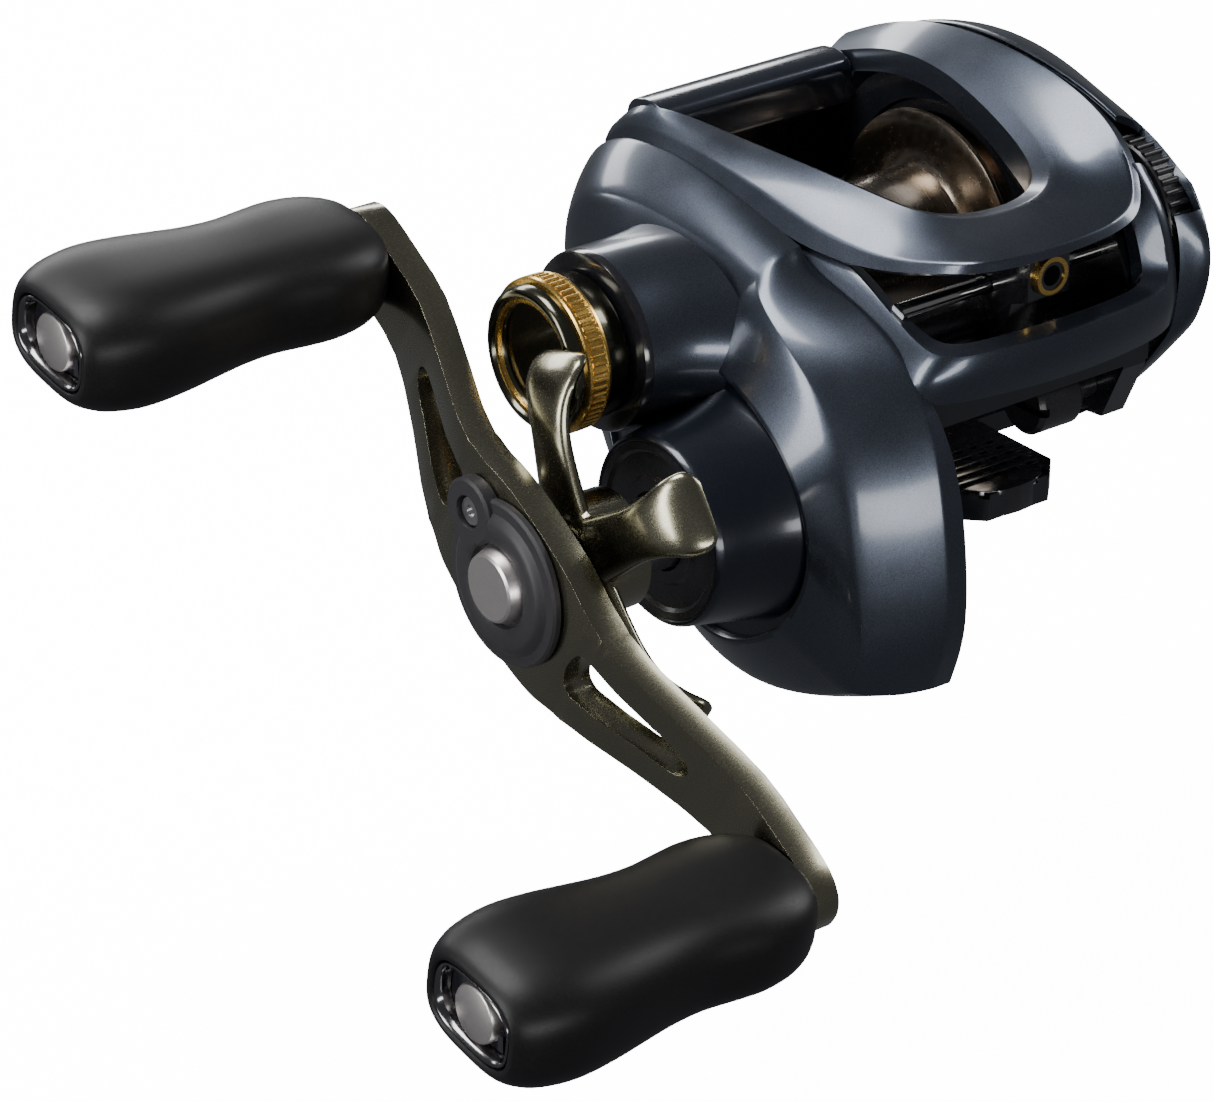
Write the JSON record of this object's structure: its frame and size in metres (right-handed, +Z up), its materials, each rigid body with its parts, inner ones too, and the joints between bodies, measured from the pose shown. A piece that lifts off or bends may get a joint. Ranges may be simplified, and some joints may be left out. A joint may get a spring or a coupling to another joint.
{
  "type": "baitcasting reel",
  "caption": "Low-profile baitcasting reel for a fishing rod: double-knob crank with star drag, level-wind line guide, thumb-bar clutch, cast control cap and brake dial, on a rod-seat foot.",
  "frame": {"origin": "middle of the foot's flat underside, straight under the spool axis", "axes": "+X along the spool axis to the palm side (the crank is at -X), -Y to the front where the line leaves, +Z up, away from the rod"},
  "size_m": [0.1202, 0.0968, 0.0739],
  "materials": {
    "slate_paint": "fine metallic flake under clear lacquer",
    "black_frame": "gloss black",
    "black_plastic": "satin moulded",
    "bronze_anodised": "olive bronze anodised, gloss",
    "dark_olive": "dark olive anodised, gloss",
    "gold_anodised": "gold anodised",
    "spool_metal": "warm gunmetal anodised, satin",
    "grip": "soft touch",
    "retainer_black": "fine matte",
    "steel": "ground",
    "bright_steel": "polished",
    "brass_gear": "machined",
    "carbon": "woven carbon",
    "copper_coil": "wound coil"
  },
  "bodies": {
    "frame": {"frame": "black_frame", "gear_side_plate": "slate_paint", "palm_side_plate": "slate_paint", "top_hood": "slate_paint", "nose_cover": "slate_paint", "brake_housing": "black_plastic", "brake_coil": "copper_coil", "palm_bearing": "steel", "crank_bearing": "steel", "roller_clutch": "steel", "pinion_bearing": "steel", "cast_bearing": "steel", "crank_seal": "black_plastic", "yoke_posts": "steel", "yoke_springs": "steel", "worm_tube": "black_plastic", "guide_rod": "bright_steel", "cover_screws": "steel"},
    "crank": {"drive_shaft": "steel", "wind_drive_gear": "brass_gear", "drive_gear": "brass_gear", "anti_reverse_ratchet": "steel", "drag_washer": "carbon", "pressure_plate": "steel", "spring_washers": "steel", "clutch_sleeve": "steel", "star_spacer": "bronze_anodised", "handle_arm": "bronze_anodised", "handle_nut": "bright_steel", "nut_retainer": "retainer_black", "retainer_screw": "steel", "knob_pins": "bright_steel"},
    "star": {"star_drag": "bronze_anodised"},
    "rear_knob": {"rear_knob_grip": "grip", "rear_knob_trim": "dark_olive", "rear_knob_cap": "bright_steel", "rear_knob_bearing": "steel"},
    "front_knob": {"front_knob_grip": "grip", "front_knob_trim": "dark_olive", "front_knob_cap": "bright_steel", "front_knob_bearing": "steel"},
    "cast_control": {"cast_cap": "dark_olive", "cast_cap_ring": "gold_anodised", "tension_washer": "carbon"},
    "spool": {"spool": "spool_metal", "spool_shaft": "steel", "spool_magnet": "steel"},
    "yoke": {"clutch_yoke": "black_plastic"},
    "pinion": {"pinion_gear": "brass_gear"},
    "thumb_bar": {"thumb_bar": "black_plastic", "clutch_cam": "steel"},
    "idler": {"idler_gear": "brass_gear"},
    "worm": {"worm_shaft": "steel", "worm_gear": "brass_gear"},
    "line_guide": {"line_guide": "black_plastic", "guide_ring": "gold_anodised", "wind_pawl": "steel", "pawl_cap": "steel"},
    "brake_dial": {"brake_dial": "black_plastic"},
    "plate_lock": {"plate_lock": "black_plastic"}
  },
  "joints": [
    {"name": "crank_spin", "type": "hinge", "parent": "frame", "child": "crank", "pos_m": [0, -0.0145, 0.0035], "axis": [1, 0, 0], "continuous": true},
    {"name": "star_turn", "type": "hinge", "parent": "crank", "child": "star", "pos_m": [0, -0.0145, 0.0035], "axis": [1, 0, 0], "range_deg": [-180, 180]},
    {"name": "rear_knob_spin", "type": "hinge", "parent": "crank", "child": "rear_knob", "pos_m": [0, 0.02379, 0.02715], "axis": [1, 0, 0], "continuous": true},
    {"name": "front_knob_spin", "type": "hinge", "parent": "crank", "child": "front_knob", "pos_m": [0, -0.05279, -0.02015], "axis": [1, 0, 0], "continuous": true},
    {"name": "cast_cap_turn", "type": "hinge", "parent": "frame", "child": "cast_control", "pos_m": [0, 0, 0.0208], "axis": [1, 0, 0], "range_deg": [-180, 180]},
    {"name": "spool_spin", "type": "hinge", "parent": "frame", "child": "spool", "pos_m": [0, 0, 0.0208], "axis": [1, 0, 0], "continuous": true},
    {"name": "yoke_slide", "type": "slide", "parent": "frame", "child": "yoke", "axis": [-1, 0, 0], "range_m": [0, 0.0014]},
    {"name": "pinion_spin", "type": "hinge", "parent": "yoke", "child": "pinion", "pos_m": [0, 0, 0.0208], "axis": [1, 0, 0], "continuous": true},
    {"name": "thumb_bar_press", "type": "slide", "parent": "frame", "child": "thumb_bar", "axis": [0, 0, -1], "range_m": [0, 0.0035]},
    {"name": "idler_spin", "type": "hinge", "parent": "frame", "child": "idler", "pos_m": [0, -0.01989, 0.01506], "axis": [1, 0, 0], "continuous": true},
    {"name": "worm_spin", "type": "hinge", "parent": "frame", "child": "worm", "pos_m": [0, -0.02337, 0.02253], "axis": [1, 0, 0], "continuous": true},
    {"name": "line_guide_slide", "type": "slide", "parent": "frame", "child": "line_guide", "axis": [1, 0, 0], "range_m": [-0.009, 0.009]},
    {"name": "brake_dial_turn", "type": "hinge", "parent": "frame", "child": "brake_dial", "pos_m": [0, -0.0234, 0.0294], "axis": [1, 0, 0], "range_deg": [-135, 135]},
    {"name": "plate_lock_turn", "type": "hinge", "parent": "frame", "child": "plate_lock", "pos_m": [0, -0.0265, 0.0114], "axis": [1, 0, 0], "range_deg": [0, 90]}
  ],
  "couplings": [
    {"joint": "spool_spin", "follows": "crank_spin", "ratio": -7.4},
    {"joint": "pinion_spin", "follows": "crank_spin", "ratio": -7.4},
    {"joint": "idler_spin", "follows": "crank_spin", "ratio": -1.4286},
    {"joint": "worm_spin", "follows": "crank_spin", "ratio": 2.5},
    {"joint": "yoke_slide", "follows": "thumb_bar_press", "ratio": 0.4}
  ]
}
